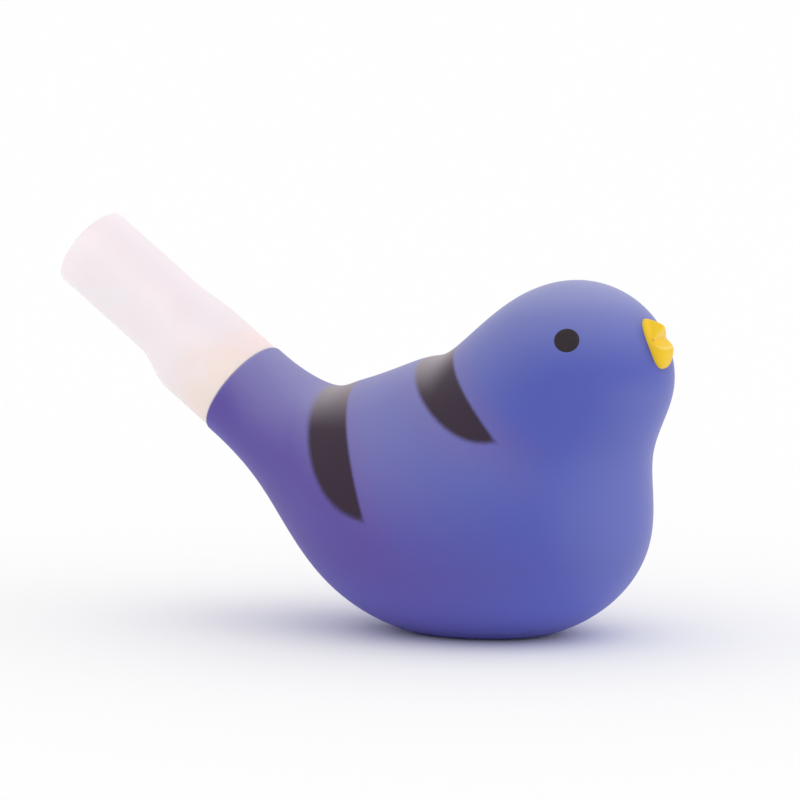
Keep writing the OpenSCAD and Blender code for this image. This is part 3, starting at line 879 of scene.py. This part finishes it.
def milk_finish(name, bird, tints):
    """Milky plastic that lets light through, with painted shade where it faces up and a painted warm glow
    in a band at the tail's rim, whose borders waver."""
    finish, tree, shader = new_finish(
        name, Roughness=0.5, Specular_IOR_Level=0.2, Subsurface_Weight=0.5,
        Subsurface_Scale=1.2 * MM, Subsurface_Radius=(1.0, 0.8, 0.8))
    axis = (-math.cos(bird.tail_slope), 0, math.sin(bird.tail_slope))
    out = distance_along(tree, (bird.rim_at[0], 0, bird.rim_at[1]), axis)
    waver = spread(tree, noise(tree, 160.0), 0.3, 0.7, -2 * MM, 2 * MM)
    out = sums(tree, "ADD", out, waver)
    # Painted warm glow in a band at the tail's rim
    outer_end = spread(tree, out, 1 * MM, 9.5 * MM, 1.0, 0.0)
    inner_end = spread(tree, out, -8 * MM, -2 * MM)
    rim_glow = sums(tree, "MULTIPLY", outer_end, inner_end)
    # Painted shade where the plastic faces up
    top_shade = spread(tree, point_value(tree, "upward"), 0.3, 0.8)
    milk = mix(tree, top_shade, colour(tints.milk_white), colour(tints.milk_painted_shade))
    glowing_milk = mix(tree, top_shade, colour(tints.milk_painted_glow), colour(tints.glow_painted_shade))
    put(tree, shader.inputs["Base Color"], mix(tree, rim_glow, milk, glowing_milk))
    grain(tree, shader, 1500.0, 0.03)
    return finish


# Operators

def dress(piece, body, slot, finish, *nodes):
    """Gives a finished piece its material, its body and the solids that it stands for."""
    piece.data.materials.append(finish)
    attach(piece, body)
    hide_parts(*nodes)


class WHISTLE_OT_body(bpy.types.Operator):
    """Hollow bird: outer skin, rounded rim, tail hole and water space in one closed surface"""

    bl_idname = "whistle.body"
    bl_label = "Bird body"

    def execute(self, context):
        scene = context.scene
        bird, face = scene.bird_sizes, scene.face_sizes
        piece, depth = body_piece(bird)
        places = point_places(piece)
        ahead, side, upward = point_normals(piece)
        ring_values(piece, "paint_depth", depth, BARE)
        # Painted light where the skin faces up
        point_values(piece, "painted_light", painted_skin_light(places, ahead, upward))
        # Painted light on the underside
        point_values(piece, "under", painted_underside_light(upward))
        # Painted highlight on the stripes
        point_values(piece, "dust", stripe_painted_highlight(side, upward))
        # Painted shade beside the beak
        point_values(piece, "beak_painted_shade", beak_painted_shade(bird, face, places))
        dress(piece, "bird", "blue_vinyl", vinyl_finish(scene.finishes), "body_shell")
        return {"FINISHED"}


class WHISTLE_OT_beak(bpy.types.Operator):
    """Open beak: a height field over an oval foot on the head, squarer at its lower end"""

    bl_idname = "whistle.beak"
    bl_label = "Beak"

    def execute(self, context):
        scene = context.scene
        bird, face = scene.bird_sizes, scene.face_sizes
        cols, rows = 144, 64
        rho = steps_to(0, 1, rows)[:, None]
        side, up = np.cos(full_turn(cols)), np.sin(full_turn(cols))
        power = 2 / np.where(up < 0, face.beak_square, 2)
        side, up = (np.sign(each) * np.abs(each) ** power for each in (side, up))
        y, z = face.beak_w / 2 * rho * side, face.beak_h / 2 * rho * up
        middle = np.zeros(1)
        peak = beak_rise(face, middle, middle, middle)
        piece = cap_piece("open_beak", bird, 0, face.beak_up, y, z, beak_rise(face, y, z, rho), peak)
        # Painted shade in the gape's corners
        ring_values(piece, "gape_painted_shade", gape_painted_shade(face, y, z), 0)
        # Painted highlight on the beak's edges
        ring_values(piece, "edge_painted_highlight", beak_painted_highlights(face, y, z) * (1 - rho ** 6), 0)
        dress(piece, "bird", "yellow_vinyl", beak_finish(scene.finishes), "beak")
        return {"FINISHED"}


class WHISTLE_OT_eyes(bpy.types.Operator):
    """Two flat eyes: caps set into the head, which fall off close to their edges"""

    bl_idname = "whistle.eyes"
    bl_label = "Eyes"

    def execute(self, context):
        scene = context.scene
        bird, face = scene.bird_sizes, scene.face_sizes
        cols, rows = 96, 24
        rho = steps_to(0, 1, rows)[:, None]
        y, z = (face.eye_d / 2 * rho * wave(full_turn(cols)) for wave in (np.cos, np.sin))
        rise = face.eye_proud * (1 - face.eye_fall * rho ** 10)
        finish = eye_finish(scene.finishes)
        for name, node, side in (("left_eye", "eye_left", 1), ("right_eye", "eye_right", -1)):
            bearing = side * face.eye_round
            piece = cap_piece(name, bird, bearing, face.eye_up, y, z, rise, face.eye_proud)
            dress(piece, "bird", "black_vinyl", finish, node)
        return {"FINISHED"}


class WHISTLE_OT_mouthpiece(bpy.types.Operator):
    """Mouthpiece: collar, shoulder, blow end, bores and the sound window in one closed surface"""

    bl_idname = "whistle.mouthpiece"
    bl_label = "Mouthpiece"

    def execute(self, context):
        scene = context.scene
        bird = scene.bird_sizes
        piece = mouthpiece_piece(bird, scene.whistle_sizes)
        # How far each point faces up, for the painted shade on top
        point_values(piece, "upward", point_normals(piece)[2])
        finish = milk_finish("milky_plastic", bird, scene.finishes)
        dress(piece, "whistle", "milky_plastic", finish, "mouthpiece")
        return {"FINISHED"}


class WHISTLE_OT_inner_pieces(bpy.types.Operator):
    """Milky finish on the fipple block and the dip tube, whose solids are shown as they are"""

    bl_idname = "whistle.inner_pieces"
    bl_label = "Fipple block and dip tube"

    def execute(self, context):
        scene = context.scene
        finish = milk_finish("milky_inner", scene.bird_sizes, scene.finishes)
        for node in ("fipple_block", "dip_tube"):
            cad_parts[node].material_slots[0].material = finish
        return {"FINISHED"}


class WHISTLE_OT_stage(bpy.types.Operator):
    """Pale floor, white surroundings, soft lights overhead and from the right, and the camera"""

    bl_idname = "whistle.stage"
    bl_label = "Stage"

    def execute(self, context):
        scene = context.scene
        stage, tints = scene.stage_sizes, scene.finishes
        scene.view_settings.view_transform = "Standard"
        half = stage.floor_size / 2
        mesh = bpy.data.meshes.new("floor")
        corners = [(-half, -half, 0), (half, -half, 0), (half, half, 0), (-half, half, 0)]
        mesh.from_pydata(corners, [], [(0, 1, 2, 3)])
        floor = bpy.data.objects.new("floor", mesh)
        finish, tree, shader = new_finish("pale_floor", Roughness=0.9, Specular_IOR_Level=0.1)
        cloud = spread(tree, noise(tree, 3.0), 0.0, 1.0, to_high=0.02)
        pale = mix(tree, cloud, colour(tints.floor_white), colour(tints.floor_grey))
        put(tree, shader.inputs["Base Color"], pale)
        mesh.materials.append(finish)
        scene.collection.objects.link(floor)

        world = bpy.data.worlds.new("white_room")
        world.use_nodes = True
        scene.world = world
        sky = world.node_tree.nodes["Background"]
        sky.inputs["Color"].default_value = (1.0, 1.0, 1.0, 1.0)
        sky.inputs["Strength"].default_value = stage.sky

        for name, strength, wide, source in (
                ("dome", stage.dome, stage.dome_wide, stage.dome_from),
                ("right", stage.right, stage.right_wide, stage.right_from)):
            light = bpy.data.lights.new(name, "SUN")
            light.angle = wide
            light.energy = strength
            lamp = bpy.data.objects.new(name, light)
            lamp.location = source
            lamp.rotation_euler = (-lamp.location).to_track_quat("-Z", "Y").to_euler()
            scene.collection.objects.link(lamp)

        lens = bpy.data.cameras.new("camera")
        lens.lens = stage.lens
        lens.sensor_width = 36.0
        lens.clip_start, lens.clip_end = 0.01, 50.0
        camera = bpy.data.objects.new("camera", lens)
        camera.location = stage.eye_point
        aim = Vector(stage.aim_point) - Vector(stage.eye_point)
        camera.rotation_euler = aim.to_track_quat("-Z", "Y").to_euler()
        scene.collection.objects.link(camera)
        scene.camera = camera
        return {"FINISHED"}


OPERATORS = (WHISTLE_OT_body, WHISTLE_OT_beak, WHISTLE_OT_eyes, WHISTLE_OT_mouthpiece,
             WHISTLE_OT_inner_pieces, WHISTLE_OT_stage)
GROUPS = {"bird_sizes": BirdSizes, "face_sizes": FaceSizes, "whistle_sizes": WhistleSizes,
          "finishes": Finishes, "stage_sizes": StageSizes}


class WHISTLE_PT_panel(bpy.types.Panel):
    """Lists the pieces of the bird whistle and their sizes"""

    bl_idname = "WHISTLE_PT_panel"
    bl_label = "Bird whistle"
    bl_space_type = "VIEW_3D"
    bl_region_type = "UI"
    bl_category = "Whistle"

    def draw(self, context):
        for operator in OPERATORS:
            self.layout.operator(operator.bl_idname)
        for name, group in GROUPS.items():
            box = self.layout.box()
            values = getattr(context.scene, name)
            for key in group.__annotations__:
                box.prop(values, key)


def register():
    """Registers the classes and puts the groups of sizes on the scene."""
    for group in (*GROUPS.values(), *OPERATORS, WHISTLE_PT_panel):
        bpy.utils.register_class(group)
    for name, group in GROUPS.items():
        setattr(bpy.types.Scene, name, bpy.props.PointerProperty(type=group))


def unregister():
    """Takes away what register added."""
    for name in GROUPS:
        delattr(bpy.types.Scene, name)
    for group in (WHISTLE_PT_panel, *reversed(OPERATORS), *reversed(GROUPS.values())):
        bpy.utils.unregister_class(group)


def main():
    """Makes the stage and every piece."""
    register()
    bpy.ops.whistle.stage()
    bpy.ops.whistle.body()
    bpy.ops.whistle.beak()
    bpy.ops.whistle.eyes()
    bpy.ops.whistle.mouthpiece()
    bpy.ops.whistle.inner_pieces()


if __name__ == "__main__":
    main()
